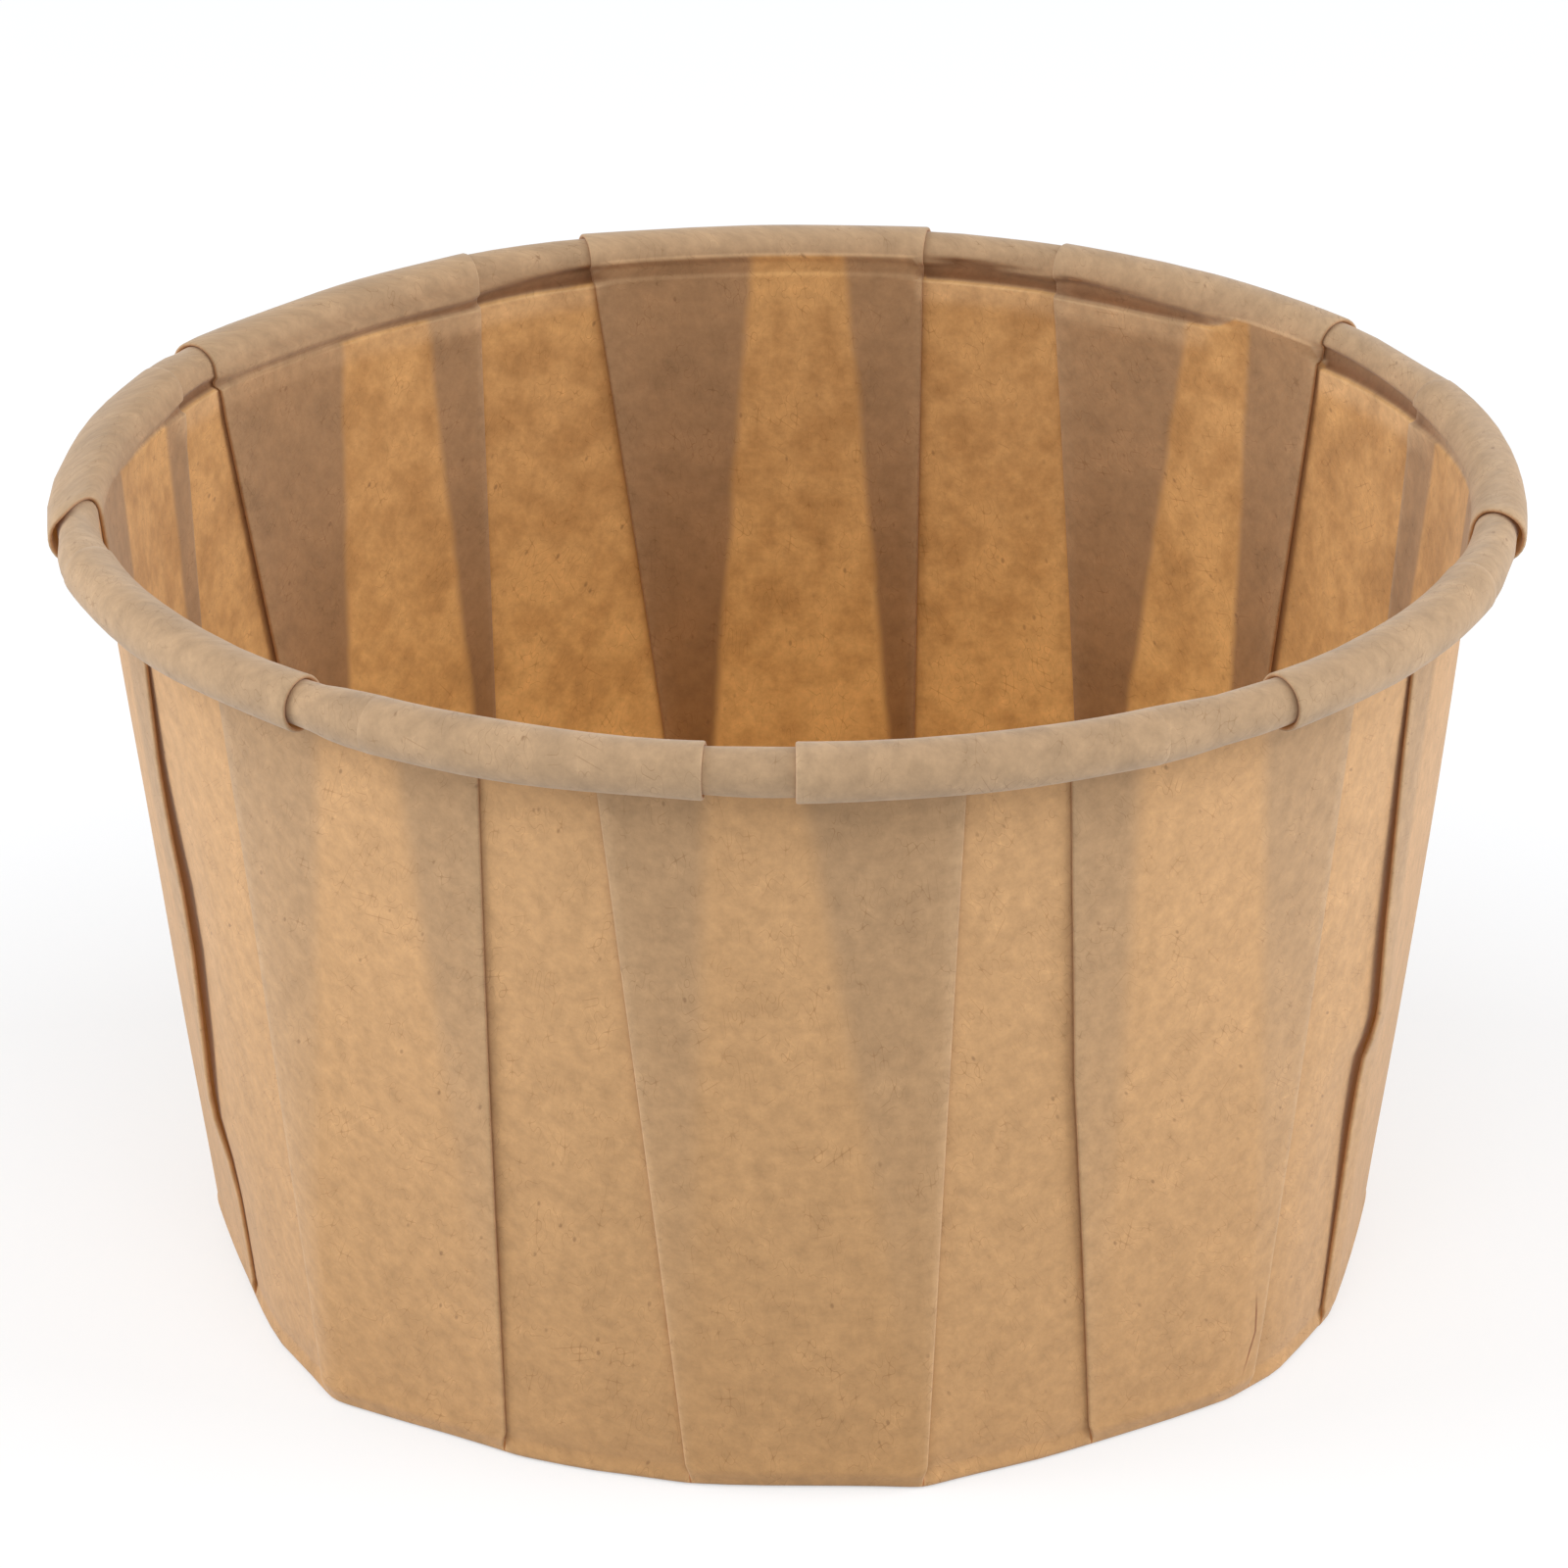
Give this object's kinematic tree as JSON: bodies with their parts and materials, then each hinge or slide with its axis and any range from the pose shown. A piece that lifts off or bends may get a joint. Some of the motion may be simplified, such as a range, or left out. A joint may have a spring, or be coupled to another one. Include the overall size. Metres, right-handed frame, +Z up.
{
  "type": "pleated paper portion cup",
  "caption": "Small pleated kraft paper cup with a flat bottom, flaring wall and rolled rim, for sauces, samples and bakes.",
  "frame": {"origin": "middle of the flat bottom, on the surface that the cup stands on", "axes": "+Z up out of the mouth, along the cup's axis; -Y is the front that the picture shows, +X to its right"},
  "size_m": [0.073, 0.073, 0.0405],
  "materials": {
    "kraft_paper": "uncoated kraft paper, matt, with visible fibres and specks"
  },
  "bodies": {
    "root": {"cup": "kraft_paper"}
  },
  "joints": []
}
